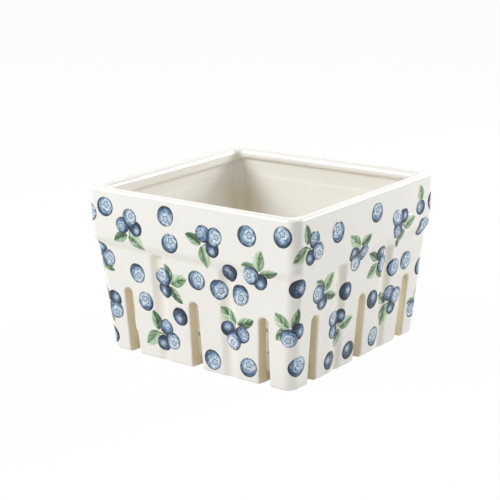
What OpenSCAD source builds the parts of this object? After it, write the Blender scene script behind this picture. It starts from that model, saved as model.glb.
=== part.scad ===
// Square berry bowl: one glazed ceramic casting with slotted, leaning walls,
// a raised band under the rim, a thick rolled lip and a drained floor.
// The origin is the middle of the foot, the front looks along -Y, and +Z is up.

/* [Rim] */
// Outside width of the rim, left to right
rim_w = 107.95; // [98:0.05:130]
// Outside depth of the rim, front to back
rim_d = 101.6; // [95:0.05:125]
// Height from the foot to the top of the lip
height = 71.12; // [64:0.01:90]
// Radius of the outside corners
corner_r = 4; // [3:0.5:6]

/* [Lip] */
// Thickness of the lip, outside face to inside face
lip_w = 5.8; // [5.2:0.1:7]
// Height of the lip
lip_h = 4.6; // [3.8:0.1:6]
// Radius of the lip's outer top edge
lip_outer_r = 1.2; // [0.6:0.1:2]
// Radius of the lip's inner top edge
lip_inner_r = 3; // [1.5:0.1:3.2]
// How far the lip overhangs the wall inside the bowl
lip_overhang = 1.2; // [0.6:0.1:2]

/* [Band] */
// Height of the band's face, from the lip to its lower edge
band_h = 16; // [10:0.5:20]
// Height of the soft curve from the band in to the walls
band_curve_h = 5; // [3:0.5:8]
// How far the band's face leans in from top to bottom
band_draft = 0.3; // [0.1:0.1:1]
// How far the band stands out from the top of the walls
band_step = 1.7; // [1:0.1:2.4]

/* [Walls] */
// Outside width of the foot, left to right
foot_w = 94.4; // [84:0.1:98]
// Outside depth of the foot, front to back
foot_d = 92; // [82:0.1:95]
// Wall thickness at the foot
wall_t = 4.6; // [3:0.1:5]
// Radius of the corners inside the bowl
well_r = 4.5; // [3:0.5:8]
// Radius of the edge round the foot
foot_edge_r = 1; // [0.5:0.1:2]

/* [Slots] */
// Width of a slot at the foot
slot_w = 5.2; // [4.4:0.1:7]
// Width of a slot at its arch
slot_top_w = 4.2; // [3.4:0.1:5.8]
// Height of a slot, from the foot to the top of its arch
slot_h = 29; // [20:0.5:36]
// Spacing of the slots on the front and back walls
slot_pitch_w = 34; // [28:0.5:36]
// Spacing of the slots on the left and right walls
slot_pitch_d = 32.4; // [28:0.1:35]
// Lean of the outer slots, in degrees from upright
slot_fan = 2.5; // [0:0.5:4]
// How far a slot reaches in from the outside of the foot
slot_reach = 7; // [5.5:0.5:9]
// Width of the softened edge round a slot's mouth
slot_edge = 0.9; // [0.4:0.1:1.4]

/* [Grooves] */
// Radius of the grooves that part the slats
groove_r = 4; // [3:0.5:6]
// Depth of the grooves at the foot
groove_depth = 0.6; // [0.3:0.1:1]
// Depth of the grooves under the band
groove_top_depth = 1.4; // [0.6:0.1:1.6]

/* [Floor] */
// Thickness of the floor
floor_t = 4; // [3:0.5:6]
// Diameter of a drain hole in the floor
drain_d = 6; // [4.5:0.5:8]
// Spacing of the drain holes
drain_pitch = 20; // [14:1:24]

/* [Hidden] */

// Glaze on the walls and band, on the lip, and pooled inside on the floor
glaze_out = "#f1eee8";
glaze_rim = "#f6f3ec";
glaze_in = "#ebe4d6";

// Overrun of every cut, and the thickness of a loft's end discs
over = 1;
disc_t = 0.01;
$fn = 64;
loft_fn = 32;

// Half sizes of the outlines that the solids are lofted through
rim_half = [rim_w, rim_d] / 2;
foot_half = [foot_w, foot_d] / 2;
wall_inset = band_draft + band_step;
wall_top_half = rim_half - [wall_inset, wall_inset];

// Heights where one form ends and the next begins
lip_z = height - lip_h;
band_z = lip_z - band_h;
crease_z = band_z - band_curve_h;

// Height where a slot's straight sides end and its arch begins
arch_z = slot_h - slot_top_w / 2;

// The well's wall runs straight from the foot to the underside of the lip
well_inset = lip_w - lip_overhang;
well_foot_half = foot_half - [wall_t, wall_t];
well_lip_half = rim_half - [well_inset, well_inset];
function well_half(z) = well_foot_half + (well_lip_half - well_foot_half) * z / lip_z;

// Steps of the band's curve, and the inset after each share of its height
curve_steps = 4;
function curve_inset(share) = band_draft + band_step * (1 - cos(180 * share)) / 2;

// Each wall ends at mitres through the corners of the foot, which run past
// the outward lean of the walls and past the round corners of the well
lean_out = wall_top_half - foot_half;
mitre_reach = max(lean_out.x, lean_out.y, 0) + wall_t + well_r;

// Places of drain holes, slots and grooves, as shares of their spacing
// counted from the middle
drain_shares = [-1, 0, 1];
slot_shares = [-1, 0, 1];
groove_shares = [-0.5, 0.5];

// Four thin discs at the corners of an outline
module corner_discs(half, r, z)
    for (sx = [-1, 1], sy = [-1, 1])
        translate([sx * (half.x - r), sy * (half.y - r), z])
            cylinder(r = r, h = disc_t, $fn = loft_fn);

// Solid lofted between two rounded outlines
module loft(half_low, z_low, half_high, z_high, r)
    hull() {
        corner_discs(half_low, r, z_low);
        corner_discs(half_high, r, z_high - disc_t);
    }

// Space inside the bowl between two heights
module well(z_low, z_high)
    loft(well_half(z_low), z_low, well_half(z_high), z_high, well_r);

// Round corner of the foot, with its softened lower edge
module foot_corner()
    rotate_extrude($fn = loft_fn) {
        square([corner_r - foot_edge_r, 2 * foot_edge_r]);
        intersection() {
            translate([corner_r - foot_edge_r, foot_edge_r])
                circle(foot_edge_r);
            square([corner_r, 2 * foot_edge_r]);
        }
    }

// Outside form of the walls, solid from the foot to the band's crease
module wall_body()
    hull() {
        for (sx = [-1, 1], sy = [-1, 1])
            translate([sx * (foot_half.x - corner_r), sy * (foot_half.y - corner_r), 0])
                foot_corner();
        corner_discs(wall_top_half, corner_r, crease_z - disc_t);
    }

// Places what follows on the slope of the front face, leaning out with its
// place along the wall
module on_slope(place, pitch, foot_out, top_out) {
    slope = atan((top_out - foot_out) / crease_z);
    translate([place * pitch, -foot_out, 0])
        rotate([slope, place * slot_fan, 0])
            children();
}

// Outline of a slot, narrowing from the foot to its arch
module slot_outline() {
    polygon([[-slot_w / 2, -over], [slot_w / 2, -over], [slot_w / 2, 0],
             [slot_top_w / 2, arch_z], [-slot_top_w / 2, arch_z], [-slot_w / 2, 0]]);
    translate([0, arch_z])
        circle(d = slot_top_w);
}

// One slot, drawn on the front and leaning out with its place
module slot_cut(place, pitch, foot_out, rim_out)
    translate([place * pitch, slot_reach - foot_out, 0])
        rotate([0, place * slot_fan, 0])
            rotate([90, 0, 0])
                linear_extrude(rim_out - foot_out + slot_reach + over)
                    slot_outline();

// Softened edge that widens the mouth of one slot towards the face
module slot_mouth()
    hull()
        for (end = [[-slot_w, slot_w / 2], [arch_z, slot_top_w / 2]])
            translate([0, 2 * slot_edge, end[0]])
                rotate([90, 0, 0])
                    cylinder(r1 = end[1] - slot_edge, r2 = end[1] + slot_edge + over,
                             h = 2 * slot_edge + over, $fn = loft_fn);

// One groove along the face, deeper under the band than at the foot
module groove_cut()
    translate([0, groove_depth - groove_r, 0])
        rotate([-atan((groove_top_depth - groove_depth) / crease_z), 0, 0])
            translate([0, 0, -over])
                cylinder(r = groove_r, h = height);

// All slots of one wall, turned from the front to its side
module side_slots(turn, pitch, foot_out, rim_out)
    rotate(turn)
        for (place = slot_shares)
            slot_cut(place, pitch, foot_out, rim_out);

// Slots of the front and back walls, then of the left and right walls
module long_side_slots(turn) side_slots(turn, slot_pitch_w, foot_half.y, rim_half.y);
module short_side_slots(turn) side_slots(turn, slot_pitch_d, foot_half.x, rim_half.x);

// One slotted and grooved wall between its two mitres, built at the front
module side_wall(turn, pitch, across, foot_out, top_out, rim_out)
    color(glaze_out)
        rotate(turn)
            difference() {
                intersection() {
                    rotate(-turn)
                        difference() {
                            wall_body();
                            well(-over, crease_z + over);
                        }
                    linear_extrude(crease_z)
                        polygon([[-across - mitre_reach, -foot_out - mitre_reach],
                                 [across + mitre_reach, -foot_out - mitre_reach],
                                 [across - mitre_reach, mitre_reach - foot_out],
                                 [mitre_reach - across, mitre_reach - foot_out]]);
                }
                for (place = slot_shares) {
                    slot_cut(place, pitch, foot_out, rim_out);
                    on_slope(place, pitch, foot_out, top_out)
                        slot_mouth();
                }
                for (place = groove_shares)
                    on_slope(place, pitch, foot_out, top_out)
                        groove_cut();
            }

// Front and back walls share one form, left and right walls the other
module long_wall(turn)
    side_wall(turn, slot_pitch_w, foot_half.x, foot_half.y, wall_top_half.y, rim_half.y);
module short_wall(turn)
    side_wall(turn, slot_pitch_d, foot_half.y, foot_half.x, wall_top_half.x, rim_half.x);

module front_wall() long_wall(0);
module right_wall() short_wall(90);
module back_wall() long_wall(180);
module left_wall() short_wall(270);

// Floor inside the walls, notched by every slot and drained by rows of holes
module floor()
    color(glaze_in)
        difference() {
            well(0, floor_t);
            for (turn = [0, 180])
                long_side_slots(turn);
            for (turn = [90, 270])
                short_side_slots(turn);
            for (row = drain_shares, column = drain_shares)
                translate([column * drain_pitch, row * drain_pitch, -over])
                    cylinder(d = drain_d, h = floor_t + 2 * over);
        }

// Raised band: an almost upright face, then a soft curve in to the walls
module rim_band()
    color(glaze_out)
        difference() {
            union() {
                loft(rim_half - [band_draft, band_draft], band_z, rim_half, lip_z, corner_r);
                for (step = [1:curve_steps]) {
                    high = curve_inset((step - 1) / curve_steps);
                    low = curve_inset(step / curve_steps);
                    loft(rim_half - [low, low], band_z - band_curve_h * step / curve_steps,
                         rim_half - [high, high],
                         band_z - band_curve_h * (step - 1) / curve_steps, corner_r);
                }
            }
            well(crease_z - over, lip_z + over);
        }

// Half section of the lip's outside, rounded at its top edge
module lip_outside(reach) {
    square([reach, lip_h - lip_outer_r]);
    square([reach - lip_outer_r, lip_h]);
    translate([reach - lip_outer_r, lip_h - lip_outer_r])
        circle(lip_outer_r);
}

// Half section of the lip's opening, flared by its rounded inner edge
module lip_opening(reach) {
    translate([0, -over])
        square([reach, lip_h + 2 * over]);
    difference() {
        translate([0, lip_h - lip_inner_r])
            square([reach + lip_inner_r, lip_inner_r + over]);
        translate([reach + lip_inner_r, lip_h - lip_inner_r])
            circle(lip_inner_r);
    }
}

// Carries a half section round a rounded rectangle: straight along both
// directions and revolved at the corners. Child 0 is for sections that run
// along X, child 1 along Y, and child 2 at the corners
module swept_slab(half, r) {
    for (turn = [0, 180])
        rotate([90, 0, 90 + turn])
            linear_extrude(2 * (half.x - r), center = true)
                children(0);
    for (turn = [0, 180])
        rotate([90, 0, turn])
            linear_extrude(2 * (half.y - r), center = true)
                children(1);
    for (sx = [-1, 1], sy = [-1, 1])
        translate([sx * (half.x - r), sy * (half.y - r), 0])
            rotate_extrude()
                children(2);
}

// Thick rolled lip that closes the rim and overhangs the well
module rim_lip() {
    opening_half = rim_half - [lip_w, lip_w];
    opening_r = well_r - lip_overhang;
    color(glaze_rim)
        translate([0, 0, lip_z])
            difference() {
                swept_slab(rim_half, corner_r) {
                    lip_outside(rim_half.y);
                    lip_outside(rim_half.x);
                    lip_outside(corner_r);
                }
                swept_slab(opening_half, opening_r) {
                    lip_opening(opening_half.y);
                    lip_opening(opening_half.x);
                    lip_opening(opening_r);
                }
            }
}

floor();
front_wall();
back_wall();
left_wall();
right_wall();
rim_band();
rim_lip();
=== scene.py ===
import math

import bpy
import numpy as np
from mathutils import Matrix, Vector


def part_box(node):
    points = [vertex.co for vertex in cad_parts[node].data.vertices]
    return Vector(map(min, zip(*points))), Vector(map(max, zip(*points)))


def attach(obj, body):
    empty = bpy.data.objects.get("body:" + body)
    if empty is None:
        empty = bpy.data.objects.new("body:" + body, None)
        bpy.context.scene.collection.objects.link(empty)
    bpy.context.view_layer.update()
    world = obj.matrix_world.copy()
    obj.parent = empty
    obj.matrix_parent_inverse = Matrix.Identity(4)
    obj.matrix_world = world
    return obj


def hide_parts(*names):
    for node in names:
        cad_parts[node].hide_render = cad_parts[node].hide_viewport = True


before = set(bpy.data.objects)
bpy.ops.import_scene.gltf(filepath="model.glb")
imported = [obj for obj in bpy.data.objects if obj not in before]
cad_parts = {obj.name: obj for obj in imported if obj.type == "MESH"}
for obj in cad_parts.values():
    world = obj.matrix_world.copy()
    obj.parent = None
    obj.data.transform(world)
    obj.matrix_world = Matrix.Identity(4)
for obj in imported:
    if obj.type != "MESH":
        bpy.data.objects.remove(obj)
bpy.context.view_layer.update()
scene = bpy.context.scene
scene.view_settings.view_transform = "Standard"
MM = 0.001


# The casting: a square berry basket of slip-cast white earthenware, poured in
# one mould. It has leaning walls with arched drain slots and soft grooves
# between the slats, a raised band, a thick rolled lip and a holed floor.
def span(node, axis):
    low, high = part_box(node)
    return low[axis] / MM, high[axis] / MM


rim_half = (span("rim_lip", 0)[1], span("rim_lip", 1)[1])
rim_top = span("rim_lip", 2)[1]
lip_z = span("rim_lip", 2)[0]
crease_z = span("front_wall", 2)[1]
floor_top = span("floor", 2)[1]
foot_half = (47.2, 46.0)
corner_r = 4.6
wall_inset = 2.0
band_draft = 0.3
band_height = 16.0
band_z = lip_z - band_height
foot_edge_r = 1.2
lip_width = 5.8
lip_overhang = 1.2
lip_outer_r = 1.4
lip_inner_r = 3.0
bead_edge_r = 1.3
bead_crease_r = 0.8
bead_sag = 1.8
wall_thick = 4.6
well_r = 4.5
well_floor_r = 3.0
slot_width = 5.2
slot_top_width = 4.2
slot_arch_z = 29.0 - slot_top_width / 2
slot_pitch = (34.0, 32.4)
slot_lean = math.radians(2.5)
slot_reach = 7.0
slot_draft = 0.6
slot_edge_r = 0.8
slot_end_r = 1.0
groove_r = 4.0
groove_deep = 0.6
groove_top_deep = 1.4
groove_edge_r = 1.2
drain_r = 3.0
drain_pitch = 20.0
drain_edge_r = 0.9


def outline_distance(x, y, half_x, half_y, r):
    qx = np.abs(x) - (half_x - r)
    qy = np.abs(y) - (half_y - r)
    outside = np.hypot(np.maximum(qx, 0), np.maximum(qy, 0))
    return outside + np.minimum(np.maximum(qx, qy), 0) - r


def round_join(a, b, r):
    """Both forms kept where they overlap, with the edge between them rounded."""
    u = np.maximum(a + r, 0)
    v = np.maximum(b + r, 0)
    return np.minimum(np.maximum(a, b), -r) + np.hypot(u, v)


def round_add(a, b, r):
    """Either form, with the inside corner between them rounded."""
    return -round_join(-a, -b, r)


def smooth_share(value):
    share = np.clip(value, 0, 1)
    return share * share * (3 - 2 * share)


def wall_half(z, axis):
    return foot_half[axis] + (rim_half[axis] - wall_inset - foot_half[axis]) * z / crease_z


def outside_half(z, axis):
    """Half width of the outside at a height: leaning walls, then the band."""
    wall = wall_half(z, axis)
    band = rim_half[axis] - band_draft * (lip_z - z) / band_height * (z < lip_z)
    share = smooth_share((z - crease_z) / (band_z - crease_z))
    return wall + (band - wall) * share


def well_half(z, axis):
    low = foot_half[axis] - wall_thick
    high = rim_half[axis] - lip_width + lip_overhang
    return low + (high - low) * z / lip_z


def slot_distance(along, z, pitch, depth):
    """Distance to the nearest of a wall's three slots, which narrow inwards."""
    best = None
    draft = slot_draft * smooth_share(depth / wall_thick)
    for place in (-1, 0, 1):
        lean = place * slot_lean
        across = (along - place * pitch) * math.cos(lean) - z * math.sin(lean)
        above = np.maximum(z - slot_arch_z, 0)
        half = (slot_width + (slot_top_width - slot_width) * np.clip(z / slot_arch_z, 0, 1)) / 2
        one = np.hypot(across, above) - half + draft
        best = one if best is None else np.minimum(best, one)
    return best


def all_slots_distance(x, y, z):
    walls = [round_join(slot_distance(along, z, slot_pitch[axis], wall_half(z, 1 - axis) - np.abs(reach)),
                        foot_half[1 - axis] - slot_reach - np.abs(reach), slot_end_r)
             for along, reach, axis in ((x, y, 0), (y, x, 1))]
    return np.minimum(*walls)


def groove_distance(along, out, z, pitch):
    """Distance to the nearest of a wall's two grooves; out is from its face."""
    best = None
    deep = groove_deep + (groove_top_deep - groove_deep) * z / crease_z
    for place in (-0.5, 0.5):
        across = along - place * pitch - z * math.tan(place * slot_lean)
        one = np.hypot(across, out - (groove_r - deep)) - groove_r
        best = one if best is None else np.minimum(best, one)
    return round_join(best, z - crease_z, groove_edge_r)


def hollow_distance(x, y, z):
    """Distance to the space inside: the well, and its mouth through the lip.

    The bead under the lip hangs lower on the left and right sides.
    """
    well = outline_distance(x, y, well_half(z, 0), well_half(z, 1), well_r)
    well = round_join(well, floor_top - z, well_floor_r)
    sag = bead_sag * smooth_share(0.5 + (np.abs(x) / rim_half[0] - np.abs(y) / rim_half[1]) * 4)
    well = round_join(well, z - lip_z + sag, bead_crease_r)
    mouth = outline_distance(x, y, rim_half[0] - lip_width, rim_half[1] - lip_width, well_r - lip_overhang)
    mouth = np.maximum(mouth, lip_z - 2 * lip_inner_r - z)
    return round_add(well, mouth, bead_edge_r)


def casting(x, y, z):
    """Signed distance in millimetres to the glazed surface, inside negative."""
    half_x, half_y = outside_half(z, 0), outside_half(z, 1)
    solid = outline_distance(x, y, half_x, half_y, corner_r)
    for along, reach, axis in ((x, y, 0), (y, x, 1)):
        cut = groove_distance(along, np.abs(reach) - wall_half(z, 1 - axis), z, slot_pitch[axis])
        solid = round_join(solid, -cut, groove_edge_r)
    solid = round_join(solid, z - rim_top, lip_outer_r)
    solid = round_join(solid, -z, foot_edge_r)
    solid = round_join(solid, -hollow_distance(x, y, z), lip_inner_r)
    solid = round_join(solid, -all_slots_distance(x, y, z), slot_edge_r)
    for column in (-1, 0, 1):
        for row in (-1, 0, 1):
            drain = np.hypot(x - column * drain_pitch, y - row * drain_pitch) - drain_r
            drain = np.maximum(drain, z - 2 * floor_top)
            solid = round_join(solid, -drain, drain_edge_r)
    return solid


def graded(low, high, coarse, fine, fine_spans):
    """Grid lines from low to high, close together within the fine spans."""
    lines = [low]
    while lines[-1] < high:
        here = lines[-1]
        near = any(a <= here <= b for a, b in fine_spans)
        step = fine if near else coarse
        if not near:
            ahead = [a - here for a, b in fine_spans if a > here]
            step = min([step] + [max(gap, fine) for gap in ahead])
        lines.append(here + step)
    return np.array(lines)


def mirrored(spans):
    return [(-b, -a) for a, b in spans] + spans


fine_step = 0.55
coarse_step = 1.3
slot_room = 4.6
lean_room = 1.0
wall_room = 9.0
slot_spans = [[(place * pitch - slot_room, place * pitch + slot_room + place * lean_room) for place in (0, 1)]
              for pitch in slot_pitch]
wall_spans = [[(foot_half[axis] - wall_room, rim_half[axis] + 1)] for axis in (0, 1)]
lines_x = graded(-rim_half[0] - 1, rim_half[0] + 2, coarse_step, fine_step,
                 mirrored(slot_spans[0] + wall_spans[0]))
lines_y = graded(-rim_half[1] - 1, rim_half[1] + 2, coarse_step, fine_step,
                 mirrored(slot_spans[1] + wall_spans[1]))
lines_z = graded(-1, rim_top + 1.5, coarse_step, fine_step,
                 [(-1, floor_top + well_floor_r), (slot_arch_z, slot_arch_z + 4),
                  (crease_z - 1.5, band_z + 1.5), (lip_z - 1.5, rim_top + 1)])


def surface_net(lines, field):
    """A closed mesh of quads through the zero level of a field on a grid."""
    grid = np.meshgrid(*lines, indexing="ij")
    values = field(*grid)
    inside = values < 0
    cells = tuple(n - 1 for n in values.shape)
    total = np.zeros(cells + (3,))
    count = np.zeros(cells)
    crossings = []
    for axis in range(3):
        others = [k for k in range(3) if k != axis]
        first = [slice(None)] * 3
        second = [slice(None)] * 3
        first[axis] = slice(0, -1)
        second[axis] = slice(1, None)
        va, vb = values[tuple(first)], values[tuple(second)]
        cross = inside[tuple(first)] != inside[tuple(second)]
        where = np.argwhere(cross)
        t = va[cross] / (va[cross] - vb[cross])
        point = np.stack([grid[k][tuple(first)][cross] for k in range(3)], axis=1)
        point[:, axis] += t * (lines[axis][where[:, axis] + 1] - lines[axis][where[:, axis]])
        for da in (0, 1):
            for db in (0, 1):
                cell = where.copy()
                cell[:, others[0]] -= da
                cell[:, others[1]] -= db
                np.add.at(total, tuple(cell.T), point)
                np.add.at(count, tuple(cell.T), 1)
        crossings.append((axis, others, where, inside[tuple(first)][cross]))
    active = count > 0
    index = np.full(cells, -1)
    index[active] = np.arange(active.sum())
    points = total[active] / count[active][:, None]
    quads = []
    for axis, others, where, low_inside in crossings:
        corners = []
        for da, db in ((0, 0), (1, 0), (1, 1), (0, 1)):
            cell = where.copy()
            cell[:, others[0]] -= da
            cell[:, others[1]] -= db
            corners.append(index[tuple(cell.T)])
        quad = np.stack(corners, axis=1)
        turn = low_inside if axis != 1 else ~low_inside
        quad[~turn] = quad[~turn][:, ::-1]
        quads.append(quad)
    return points, np.concatenate(quads)


def field_slope(field, points, reach=0.02):
    slopes = []
    for axis in range(3):
        step = np.zeros(3)
        step[axis] = reach
        slopes.append(field(*(points + step).T) - field(*(points - step).T))
    return np.stack(slopes, axis=1) / (2 * reach)


def settle(field, points, rounds):
    """Moves points along the field's slope until they lie on its surface."""
    for _ in range(rounds):
        slope = field_slope(field, points)
        steep = np.maximum((slope ** 2).sum(axis=1), 0.2)
        points = points - np.clip(field(*points.T) / steep, -1, 1)[:, None] * slope
    return points


def relax(points, quads, share):
    """Moves each point towards the middle of its neighbours."""
    total = np.zeros_like(points)
    count = np.zeros(len(points))
    for a, b in ((0, 1), (1, 2), (2, 3), (3, 0)):
        np.add.at(total, quads[:, a], points[quads[:, b]])
        np.add.at(total, quads[:, b], points[quads[:, a]])
        np.add.at(count, quads[:, a], 1)
        np.add.at(count, quads[:, b], 1)
    return points + share * (total / count[:, None] - points)


points, quads = surface_net((lines_x, lines_y, lines_z), casting)
for _ in range(3):
    points = settle(casting, relax(points, quads, 0.5), 2)
points = settle(casting, points, 3)
normals = field_slope(casting, points)
normals /= np.linalg.norm(normals, axis=1)[:, None]


def add_mesh(name, points, faces, normals=None):
    """A new object from points in millimetres."""
    mesh = bpy.data.meshes.new(name)
    mesh.from_pydata((np.asarray(points) * MM).tolist(), [], [list(map(int, f)) for f in faces])
    mesh.validate()
    mesh.polygons.foreach_set("use_smooth", [True] * len(mesh.polygons))
    if normals is not None:
        mesh.normals_split_custom_set_from_vertices(normals.tolist())
    mesh.update()
    obj = bpy.data.objects.new(name, mesh)
    scene.collection.objects.link(obj)
    return obj


basket = add_mesh("berry_basket_casting", points, quads, normals)


# Its glaze: earthenware glaze, dipped and fired to a clear gloss over the white
# body. It lies thin and ivory over faces and edges. In the slots, the grooves,
# under the band and low down in the inside corners its colour is darkened to tan:
# a little for thicker glaze, mostly painted shade.
def linear(code):
    """sRGB hex colour as linear values."""
    channels = [int(code[k:k + 2], 16) / 255 for k in (1, 3, 5)]
    return tuple(c / 12.92 if c <= 0.04045 else ((c + 0.055) / 1.055) ** 2.4 for c in channels) + (1.0,)


def add_node(tree, kind, settings=None, **links):
    """Adds a node with its settings, socket values and colour stops, and links it."""
    node = tree.nodes.new(kind)
    for name, value in (settings or {}).items():
        if name == "stops":
            marks = node.color_ramp.elements
            while len(marks) < len(value):
                marks.new(0.5)
            for mark, (place, code) in zip(marks, value):
                mark.position = place
                mark.color = linear(code) if isinstance(code, str) else (code, code, code, 1.0)
        elif isinstance(name, str) and hasattr(node, name):
            setattr(node, name, value)
        else:
            node.inputs[name].default_value = value
    for name, source in links.items():
        numbered = name[0] == "i" and name[1:].isdigit()
        tree.links.new(source, node.inputs[int(name[1:])] if numbered else node.inputs[name])
    return node


def new_material(name):
    material = bpy.data.materials.new(name)
    material.use_nodes = True
    tree = material.node_tree
    tree.nodes.clear()
    return material, tree


glaze_ivory = "#f3f1ec"
# The tan below and the shares after it paint shade into the glaze colour where shade falls: slots, grooves,
# band crease, inside corners and low in the well. Only a little of it stands for thicker glaze.
glaze_pooled_and_shaded = "#dfd4b8"
glaze_wave = 22.0
slot_reach_out = 4.0
slot_painted_shade = 1.4
slot_lead_in = 2.4
mouth_edge = 0.4
crease_reach = 8.0
crease_painted_shade = 1.9
inside_reach = 1.5
corner_reach = 20.0
corner_painted_shade = 0.75
low_painted_shade = 0.4
well_painted_shade = 0.02


def closeness(reach):
    """Share by which other walls crowd a point, looking out to that reach."""
    return 1 - casting(*(points + reach * normals).T) / reach


across, along, height = points.T
behind_face = -outline_distance(across, along, outside_half(height, 0), outside_half(height, 1), corner_r)
past_mouth = smooth_share((behind_face + mouth_edge) / slot_lead_in)
# Painted shade: the slots, the grooves and the crease under the band, the inside corners and the low part of
# the well are darkened towards tan by how closely other walls crowd them, with a little for thicker glaze.
narrow = smooth_share(slot_painted_shade * closeness(slot_reach_out)) * past_mouth
crease = crease_painted_shade * closeness(crease_reach) * (1 - 0.8 * (height > lip_z))
from_corner = np.maximum(well_half(height, 0) - np.abs(across), well_half(height, 1) - np.abs(along))
corner = smooth_share(1 - from_corner / corner_reach)
depth = (lip_z - height) / lip_z
inside = smooth_share(1 - hollow_distance(*points.T) / inside_reach) * (depth > 0)
low_down = smooth_share((depth - 0.4) / 0.4)
pool = inside * (well_painted_shade + corner_painted_shade * corner * smooth_share(depth / 0.3) + low_painted_shade * low_down)
pool = np.clip(np.maximum(np.maximum(narrow, crease * (1 - 0.9 * inside)), pool), 0, 1)
pool_and_shade_layer = basket.data.attributes.new("pool", "FLOAT", "POINT")
pool_and_shade_layer.data.foreach_set("value", pool)

glaze, tree = new_material("ivory_gloss_glaze")
pool_and_shade_read = add_node(tree, "ShaderNodeAttribute", {"attribute_name": "pool"})
place = add_node(tree, "ShaderNodeNewGeometry")
cloud = add_node(tree, "ShaderNodeTexNoise",
                 {"Scale": 1 / (glaze_wave * MM), "Detail": 3.0, "Roughness": 0.55},
                 Vector=place.outputs["Position"])
# The base colour goes from ivory towards tan by the painted shade share.
shade = add_node(tree, "ShaderNodeMix",
                 {"data_type": "RGBA", 6: linear(glaze_ivory), 7: linear(glaze_pooled_and_shaded)},
                 i0=pool_and_shade_read.outputs["Fac"])
ripple = add_node(tree, "ShaderNodeBump", {"Strength": 0.25, "Distance": 0.0004}, Height=cloud.outputs["Fac"])
gloss = add_node(tree, "ShaderNodeMapRange", {"To Min": 0.08, "To Max": 0.16}, Value=cloud.outputs["Fac"])
surface = add_node(tree, "ShaderNodeBsdfPrincipled", {"IOR": 1.5},
                   **{"Base Color": shade.outputs[2], "Roughness": gloss.outputs["Result"],
                      "Normal": ripple.outputs["Normal"]})
add_node(tree, "ShaderNodeOutputMaterial", Surface=surface.outputs["BSDF"])
basket.data.materials.append(glaze)
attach(basket, "root")
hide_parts("floor", "front_wall", "back_wall", "left_wall", "right_wall", "rim_band", "rim_lip")


# The print: round blue berries with pale crowns and small green leaves, as
# trios, pairs, buds and single fruit tossed over the outside. It is a transfer
# of ceramic colour, a few hundredths of a millimetre thick, fired on the glaze.
print_low, print_high = 1.8, rim_top - 2.2
print_seed = 11
motif_gap = 0.4
slot_gap = 0.5
motif_tries = 90
film = 0.06
film_lift = 0.02


def corner_length():
    return math.pi * corner_r / 2


def wall_point(turn, z, lift):
    """Points on the outside; turn counts walls from the front one's middle."""
    wall = np.floor(turn + 0.5)
    side = (wall.astype(int)) % 4
    wide = np.where(side % 2 == 0, outside_half(z, 0), outside_half(z, 1))
    deep = np.where(side % 2 == 0, outside_half(z, 1), outside_half(z, 0))
    straight = wide - corner_r
    along = (turn - wall) * 2 * (straight + corner_length() / 2)
    past = np.clip(np.abs(along) - straight, 0, None)
    angle = past / corner_r
    run = np.sign(along) * (np.minimum(np.abs(along), straight) + corner_r * np.sin(angle))
    out = deep - corner_r * (1 - np.cos(angle))
    x = np.choose(side, [run, out, -run, -out])
    y = np.choose(side, [-out, run, out, -run])
    points = settle(casting, np.stack([x, y, z], axis=1), 4)
    slope = field_slope(casting, points)
    slope /= np.linalg.norm(slope, axis=1)[:, None]
    return points + lift[:, None] * slope


def turn_scale(turn, z):
    """Walls per millimetre along the outside at a height."""
    side = int(math.floor(turn + 0.5)) % 2
    return 1 / (2 * (outside_half(np.float64(z), side) - corner_r + corner_length() / 2))


class Film:
    """Flat shapes drawn in millimetres, then laid on the outside of the basket."""

    def __init__(self):
        self.points, self.lifts, self.faces, self.spots, self.tones = [], [], [], [], []

    def sheet(self, grid, spots, lift, tone, closed):
        """grid is rows of (turn, z) points; spots are their places in the shape."""
        first = len(self.points)
        rows, columns = len(grid), len(grid[0])
        for row, row_spots in zip(grid, spots):
            self.points += row
            self.spots += row_spots
            self.lifts += [lift] * columns
            self.tones += [tone] * columns
        last = columns if closed else columns - 1
        for i in range(rows - 1):
            for j in range(last):
                k = (j + 1) % columns
                quad = (first + i * columns + j, first + i * columns + k,
                        first + (i + 1) * columns + k, first + (i + 1) * columns + j)
                self.faces.append(quad[::-1] if closed else quad)
        return first

    def build(self, name, material):
        turn, z = np.array(self.points).T
        obj = add_mesh(name, wall_point(turn, z, np.array(self.lifts)), self.faces)
        spot_layer = obj.data.uv_layers.new(name="spot")
        corner_points = np.empty(len(obj.data.loops), dtype=int)
        obj.data.loops.foreach_get("vertex_index", corner_points)
        spot_layer.data.foreach_set("uv", np.array(self.spots)[corner_points].ravel())
        tone = obj.data.attributes.new("tone", "FLOAT", "POINT")
        tone.data.foreach_set("value", self.tones)
        thick = obj.modifiers.new("film", "SOLIDIFY")
        thick.thickness = film * MM
        thick.offset = -1
        obj.data.materials.append(material)
        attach(obj, "root")
        return obj


berries, leaves = Film(), Film()


class Spot:
    """A place on the outside, with its own directions for drawing a motif."""

    def __init__(self, turn, z, angle, size):
        self.turn, self.z, self.angle, self.size = turn, z, angle, size

    def at(self, a, b):
        ca, sa = math.cos(self.angle), math.sin(self.angle)
        along, rise = (a * ca - b * sa) * self.size, (a * sa + b * ca) * self.size
        return (self.turn + along * turn_scale(self.turn, self.z), self.z + rise)


def draw_berry(spot, at, r, crown, tone, layer):
    """A round fruit, its crown turned by an angle; layers count up from the glaze."""
    rings, sides = 6, 28
    grid, spots = [], []
    for i in range(rings + 1):
        reach = max(i / rings, 0.02)
        row, row_spots = [], []
        for j in range(sides):
            angle = 2 * math.pi * j / sides
            wobble = 1 + 0.03 * math.sin(2 * angle + crown) * (i == rings)
            p, q = reach * math.cos(angle) * wobble, reach * math.sin(angle) * wobble
            row.append(spot.at(at[0] + p * r, at[1] + q * r))
            row_spots.append((0.5 + 0.5 * (p * math.cos(crown) + q * math.sin(crown)),
                              0.5 + 0.5 * (q * math.cos(crown) - p * math.sin(crown))))
        grid.append(row)
        spots.append(row_spots)
    first = berries.sheet(grid, spots, film_lift * layer, tone, True)
    berries.faces.append(tuple(first + j for j in range(sides)))


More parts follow.
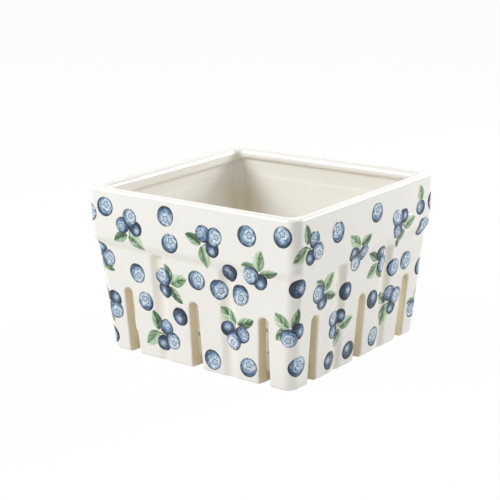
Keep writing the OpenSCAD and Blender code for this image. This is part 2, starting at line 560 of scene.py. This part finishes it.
def draw_leaf(spot, at, length, width, heading, bend, tone):
    """A leaf, or a thin one as a stem, from its base towards its heading."""
    rows, columns = 14, 6
    grid, spots = [], []
    for i in range(rows + 1):
        t = i / rows
        turned = heading + bend * (t - 0.5)
        mid_a = at[0] + length * t * math.cos(heading + bend * (t - 1) / 2)
        mid_b = at[1] + length * t * math.sin(heading + bend * (t - 1) / 2)
        half = width / 2 * max(math.sin(math.pi * t ** 0.85), 0.03) ** 0.66
        row, row_spots = [], []
        for j in range(columns + 1):
            w = 1 - 2 * j / columns
            row.append(spot.at(mid_a - w * half * math.sin(turned), mid_b + w * half * math.cos(turned)))
            row_spots.append((t, 0.5 + 0.5 * w))
        grid.append(row)
        spots.append(row_spots)
    leaves.sheet(grid, spots, film_lift, tone, False)


def trio(spot):
    draw_leaf(spot, at=(0, -1.0), length=5.4, width=0.55, heading=1.7, bend=-0.5, tone=1.0)
    draw_leaf(spot, at=(-0.2, 2.8), length=9.2, width=5.6, heading=2.75, bend=-0.5, tone=0.1)
    draw_leaf(spot, at=(0.4, 2.8), length=8.2, width=4.6, heading=0.6, bend=0.5, tone=0.7)
    draw_berry(spot, at=(-3.5, -1.6), r=3.4, crown=2.4, tone=0.9, layer=2)
    draw_berry(spot, at=(3.5, -0.9), r=3.6, crown=0.6, tone=0.35, layer=3)
    draw_berry(spot, at=(0.2, -5.2), r=3.8, crown=4.2, tone=0.0, layer=4)


def pair(spot):
    draw_leaf(spot, at=(0.2, 0.6), length=8.8, width=5.6, heading=1.9, bend=-0.5, tone=0.0)
    draw_leaf(spot, at=(1.2, 0.4), length=8.4, width=4.0, heading=0.7, bend=0.6, tone=0.8)
    draw_leaf(spot, at=(-0.6, 0.2), length=7.6, width=4.4, heading=3.4, bend=0.5, tone=0.3)
    draw_berry(spot, at=(3.0, -3.0), r=3.5, crown=5.4, tone=0.8, layer=2)
    draw_berry(spot, at=(-2.0, -3.2), r=4.0, crown=3.9, tone=0.1, layer=3)


def single(spot):
    draw_berry(spot, at=(0, 0), r=4.3, crown=0.9, tone=0.1, layer=2)


def single_dark(spot):
    draw_berry(spot, at=(0, 0), r=4.0, crown=3.9, tone=0.85, layer=2)


def bud(spot):
    draw_leaf(spot, at=(0.4, 0.4), length=7.0, width=4.4, heading=1.1, bend=0.5, tone=0.2)
    draw_berry(spot, at=(-0.8, -1.8), r=3.3, crown=2.2, tone=0.45, layer=2)


def clear_of_slots(turn, z, reach):
    """Least gap from a ring of that reach to any slot."""
    angles = np.linspace(0, 2 * math.pi, 13)[:-1]
    ring_turn = turn + reach * np.cos(angles) * turn_scale(turn, z)
    ring_z = z + reach * np.sin(angles)
    return all_slots_distance(*wall_point(ring_turn, ring_z, np.zeros(len(angles))).T).min()


random = np.random.default_rng(print_seed)
mean_wall = 2 * (sum(rim_half) / 2 - corner_r + corner_length() / 2)
foot_share = 0.88
placed = []

# Each motif, its reach from the middle and the number that is tried.
motif_rounds = ((trio, 9.2, 18), (pair, 8.4, 14), (single, 4.6, 44), (single_dark, 4.3, 24), (bud, 5.6, 14))
for motif, reach, number in motif_rounds:
    for _ in range(number):
        best = None
        for _ in range(motif_tries):
            turn = random.uniform(-0.5, 3.5)
            z = random.uniform(print_low + reach * 0.9, print_high - reach)
            gap = 99.0
            for other_turn, other_z, other_reach in placed:
                across = abs(turn - other_turn)
                across = min(across, 4 - across) * mean_wall * (foot_share + (1 - foot_share) * z / rim_top)
                gap = min(gap, math.hypot(across, z - other_z) - reach - other_reach)
            if best is None or gap > best[0]:
                if gap > motif_gap and clear_of_slots(turn, z, reach) > slot_gap:
                    best = (gap, turn, z)
        if best is not None:
            gap, turn, z = best
            placed.append((turn, z, reach))
            motif(Spot(turn, z, random.uniform(0, 2 * math.pi), random.uniform(0.94, 1.04)))


def ink_start(name, stroke_size):
    """What both inks read: place in the shape, tone, and a drift in millimetres."""
    ink, tree = new_material(name)
    spot_map = add_node(tree, "ShaderNodeUVMap", {"uv_map": "spot"}).outputs["UV"]
    tone = add_node(tree, "ShaderNodeAttribute", {"attribute_name": "tone"}).outputs["Fac"]
    place = add_node(tree, "ShaderNodeNewGeometry").outputs["Position"]
    moved = add_node(tree, "ShaderNodeVectorMath", {"operation": "SCALE", "Scale": 1 / (stroke_size * MM)},
                     i0=place)
    return ink, tree, spot_map, tone, moved.outputs["Vector"]


def ink_finish(tree, colour, strokes):
    """Gloss of an ink under its flux, uneven with its strokes."""
    gloss = add_node(tree, "ShaderNodeMapRange", {"To Min": 0.13, "To Max": 0.24}, Value=strokes)
    surface = add_node(tree, "ShaderNodeBsdfPrincipled", {"IOR": 1.5},
                       **{"Base Color": colour, "Roughness": gloss.outputs["Result"]})
    add_node(tree, "ShaderNodeOutputMaterial", Surface=surface.outputs["BSDF"])


# Cobalt blue ceramic ink, brushed and then fired under its flux: dark towards
# the outline, milky where it is thin, with strokes that wind round the crown.
crown_place = (0.65, 0.5, 0)
berry_middle = (0.53, 0.5, 0)
berry_ink, tree, spot_map, tone, drift = ink_start("cobalt_berry_overglaze", stroke_size=11.0)
from_crown = add_node(tree, "ShaderNodeVectorMath", {"operation": "SUBTRACT", 1: crown_place}, i0=spot_map)
from_crown = from_crown.outputs[0]
crown_gap = add_node(tree, "ShaderNodeVectorMath", {"operation": "LENGTH"}, i0=from_crown).outputs["Value"]
heading = add_node(tree, "ShaderNodeVectorMath", {"operation": "NORMALIZE"}, i0=from_crown).outputs[0]
swirl = add_node(tree, "ShaderNodeVectorMath", {"operation": "MULTIPLY_ADD", 1: (1.4, 1.4, 0)},
                 i0=heading, i2=drift).outputs[0]
rings = add_node(tree, "ShaderNodeMath", {"operation": "MULTIPLY", 1: 12.0}, i0=crown_gap).outputs[0]
rings = add_node(tree, "ShaderNodeCombineXYZ", {}, Z=rings).outputs[0]
stroke_place = add_node(tree, "ShaderNodeVectorMath", {"operation": "ADD"}, i0=swirl, i1=rings).outputs[0]
strokes = add_node(tree, "ShaderNodeTexNoise", {"Scale": 1.0, "Detail": 3.0, "Roughness": 0.6},
                   Vector=stroke_place).outputs["Fac"]
shade = add_node(tree, "ShaderNodeMath", {"operation": "MULTIPLY_ADD", 1: 1.5, 2: -0.95},
                 i0=crown_gap).outputs[0]
shade = add_node(tree, "ShaderNodeMath", {"operation": "MULTIPLY_ADD", 1: 1.5}, i0=strokes,
                 i2=shade).outputs[0]
shade = add_node(tree, "ShaderNodeMath", {"operation": "MULTIPLY_ADD", 1: 0.62}, i0=tone, i2=shade).outputs[0]
body_stops = ((0.06, "#edf3f8"), (0.22, "#bfd1e2"), (0.38, "#8fabc7"), (0.55, "#5b7c9f"), (0.75, "#324f73"),
              (1.0, "#1c2b43"))
body = add_node(tree, "ShaderNodeValToRGB", {"stops": body_stops}, Fac=shade).outputs[0]
middle_gap = add_node(tree, "ShaderNodeVectorMath", {"operation": "DISTANCE", 1: berry_middle}, i0=spot_map)
edge = add_node(tree, "ShaderNodeMath", {"operation": "MULTIPLY_ADD", 1: 0.16}, i0=strokes,
                i2=middle_gap.outputs["Value"]).outputs[0]
outline = add_node(tree, "ShaderNodeValToRGB", {"stops": ((0.46, 1.0), (0.52, 0.5), (0.57, 0.14))}, Fac=edge)
outlined = add_node(tree, "ShaderNodeMix", {"data_type": "RGBA", "blend_type": "MULTIPLY", 0: 0.85},
                    i6=body, i7=outline.outputs[0]).outputs[2]

# The crown of each berry: a dark star with five points, in a pale ring.
parts = add_node(tree, "ShaderNodeSeparateXYZ", {}, i0=from_crown)
around = add_node(tree, "ShaderNodeMath", {"operation": "ARCTAN2"}, i0=parts.outputs["Y"],
                  i1=parts.outputs["X"]).outputs[0]
five_turns = add_node(tree, "ShaderNodeMath", {"operation": "MULTIPLY", 1: 5.0}, i0=around).outputs[0]
petals = add_node(tree, "ShaderNodeMath", {"operation": "COSINE"}, i0=five_turns).outputs[0]
star = add_node(tree, "ShaderNodeMath", {"operation": "MULTIPLY_ADD", 1: -0.02}, i0=petals,
                i2=crown_gap).outputs[0]
star = add_node(tree, "ShaderNodeMath", {"operation": "MULTIPLY_ADD", 1: 0.05}, i0=strokes,
                i2=star).outputs[0]
crown_stops = ((0.0, "#3c5a7e"), (0.05, "#54748f"), (0.075, "#e6eef5"), (0.12, "#c3d5e6"), (0.15, "#39557a"),
               (0.18, "#7d9bba"), (0.215, "#c9d9e8"))
crown = add_node(tree, "ShaderNodeValToRGB", {"stops": crown_stops}, Fac=star).outputs[0]
crown_share = add_node(tree, "ShaderNodeValToRGB", {"stops": ((0.19, 1.0), (0.23, 0.0))}, Fac=star).outputs[0]
topped = add_node(tree, "ShaderNodeMix", {"data_type": "RGBA"}, i0=crown_share, i6=outlined,
                  i7=crown).outputs[2]
ink_finish(tree, topped, strokes)

# Green ceramic ink, one half of each leaf darker than the other, with a dark
# middle vein and strokes that slant out from it like side ribs.
leaf_ink, tree, spot_map, tone, drift = ink_start("green_leaf_overglaze", stroke_size=16.5)
parts = add_node(tree, "ShaderNodeSeparateXYZ", {}, i0=spot_map)
off_vein = add_node(tree, "ShaderNodeMath", {"operation": "SUBTRACT", 1: 0.5},
                    i0=parts.outputs["Y"]).outputs[0]
off_vein = add_node(tree, "ShaderNodeMath", {"operation": "ABSOLUTE"}, i0=off_vein).outputs[0]
ribs = add_node(tree, "ShaderNodeMath", {"operation": "MULTIPLY", 1: 15.0}, i0=parts.outputs["X"]).outputs[0]
slant = add_node(tree, "ShaderNodeMath", {"operation": "MULTIPLY_ADD", 1: -12.0}, i0=off_vein,
                 i2=ribs).outputs[0]
along_rib = add_node(tree, "ShaderNodeMath", {"operation": "MULTIPLY", 1: 2.0}, i0=off_vein).outputs[0]
rib = add_node(tree, "ShaderNodeCombineXYZ", {}, X=slant, Y=along_rib).outputs[0]
rib_place = add_node(tree, "ShaderNodeVectorMath", {"operation": "ADD"}, i0=rib, i1=drift).outputs[0]
strokes = add_node(tree, "ShaderNodeTexNoise", {"Scale": 1.0, "Detail": 3.0, "Roughness": 0.6},
                   Vector=rib_place).outputs["Fac"]
streaks = add_node(tree, "ShaderNodeMath", {"operation": "MULTIPLY_ADD", 1: 1.8, 2: -0.9},
                   i0=strokes).outputs[0]
half_stops = ((0.0, 0.46), (0.3, 0.36), (0.46, 0.22), (0.5, 0.05), (0.54, 0.45), (0.75, 0.75), (1.0, 0.8))
halves = add_node(tree, "ShaderNodeValToRGB", {"stops": half_stops}, Fac=parts.outputs["Y"]).outputs[0]
shade = add_node(tree, "ShaderNodeMath", {"operation": "ADD"}, i0=streaks, i1=halves).outputs[0]
shade = add_node(tree, "ShaderNodeMath", {"operation": "MULTIPLY_ADD", 1: -0.32}, i0=tone,
                 i2=shade).outputs[0]
blade_stops = ((0.0, "#304a36"), (0.22, "#587c59"), (0.45, "#8fb389"), (0.65, "#b7d2ac"), (0.95, "#d6e7cd"))
blade = add_node(tree, "ShaderNodeValToRGB", {"stops": blade_stops}, Fac=shade).outputs[0]
ink_finish(tree, blade, strokes)

berries.build("printed_berries", berry_ink)
leaves.build("printed_leaves", leaf_ink)


# The camera, at the photograph's viewing angle: a long lens a little over half
# a metre from the basket. Its place and tilt come from the rim, the foot and
# the height as they lie in the 500 by 500 frame.
frame_px = 500
focal_px = 1392
view_az = math.radians(37.76)
view_el = math.radians(15.76)
view_roll = math.radians(-1.1)
view_shift = (5.967, -4.106)
view_far = 595.5
forward = Vector((-math.sin(view_az) * math.cos(view_el), math.cos(view_az) * math.cos(view_el),
                  -math.sin(view_el)))
level_right = forward.cross(Vector((0, 0, 1))).normalized()
level_up = level_right.cross(forward)
right = level_right * math.cos(view_roll) + level_up * math.sin(view_roll)
up = level_up * math.cos(view_roll) - level_right * math.sin(view_roll)
middle = Vector((0, 0, rim_top / 2))
eye = middle - (right * view_shift[0] + up * view_shift[1] + forward * view_far)
camera_data = bpy.data.cameras.new("view_camera")
camera_data.sensor_width = 36.0
camera_data.lens = focal_px / frame_px * camera_data.sensor_width
camera = bpy.data.objects.new("view_camera", camera_data)
camera.matrix_world = Matrix.Translation(eye * MM) @ Matrix((right, up, -forward)).transposed().to_4x4()
scene.collection.objects.link(camera)
scene.camera = camera


# The floor and the light: a plain matt white floor that looks white and keeps a
# soft shadow, in an even pale surround. A large soft lamp stands to the front
# left, a smaller one behind on the right and a weak one overhead. In metres.
floor_reach = 3.0
floor_white_share = 0.96
surround_strength = 0.25
lamp_aim = Vector((0, 0, 0.04))


def seen_rays(tree):
    """One for rays that show the surround to the eye, straight or in a gloss."""
    ray = add_node(tree, "ShaderNodeLightPath")
    seen = ray.outputs["Is Camera Ray"]
    for other in ("Is Glossy Ray", "Is Transmission Ray"):
        seen = add_node(tree, "ShaderNodeMath", {"operation": "MAXIMUM"}, i0=seen,
                        i1=ray.outputs[other]).outputs[0]
    return seen


floor_mesh = bpy.data.meshes.new("studio_floor")
floor_mesh.from_pydata([(-floor_reach, -floor_reach, 0), (floor_reach, -floor_reach, 0),
                        (floor_reach, floor_reach, 0), (-floor_reach, floor_reach, 0)], [], [(0, 1, 2, 3)])
studio_floor = bpy.data.objects.new("studio_floor", floor_mesh)
scene.collection.objects.link(studio_floor)
floor_paint, tree = new_material("matt_white_floor")
paint = add_node(tree, "ShaderNodeBsdfDiffuse", {"Color": linear("#f4f3f0")})
glow = add_node(tree, "ShaderNodeEmission", {"Color": (1, 1, 1, 1), "Strength": 1.0})
seen = add_node(tree, "ShaderNodeMath", {"operation": "MULTIPLY", 1: floor_white_share},
                i0=seen_rays(tree)).outputs[0]
blend = add_node(tree, "ShaderNodeMixShader", {}, i0=seen, i1=paint.outputs[0], i2=glow.outputs[0])
add_node(tree, "ShaderNodeOutputMaterial", Surface=blend.outputs[0])
studio_floor.data.materials.append(floor_paint)

world = bpy.data.worlds.new("pale_surround")
scene.world = world
world.use_nodes = True
tree = world.node_tree
tree.nodes.clear()
soft = add_node(tree, "ShaderNodeBackground", {"Color": (1, 1, 1, 1), "Strength": surround_strength})
white = add_node(tree, "ShaderNodeBackground", {"Color": (1, 1, 1, 1), "Strength": 1.0})
blend = add_node(tree, "ShaderNodeMixShader", {}, i0=seen_rays(tree), i1=soft.outputs[0], i2=white.outputs[0])
add_node(tree, "ShaderNodeOutputWorld", Surface=blend.outputs[0])


def soft_lamp(name, place, size, watts):
    data = bpy.data.lights.new(name, "AREA")
    data.shape = "SQUARE"
    data.size = size
    data.energy = watts
    lamp = bpy.data.objects.new(name, data)
    lamp.location = place
    lamp.rotation_euler = (lamp_aim - Vector(place)).to_track_quat("-Z", "Y").to_euler()
    scene.collection.objects.link(lamp)


soft_lamp("front_left_softbox", place=(-0.59, -0.65, 0.71), size=0.5, watts=8.5)
soft_lamp("back_right_softbox", place=(0.27, 0.52, 0.32), size=0.25, watts=3.1)
soft_lamp("overhead_softbox", place=(0.10, -0.10, 1.10), size=0.7, watts=2.2)
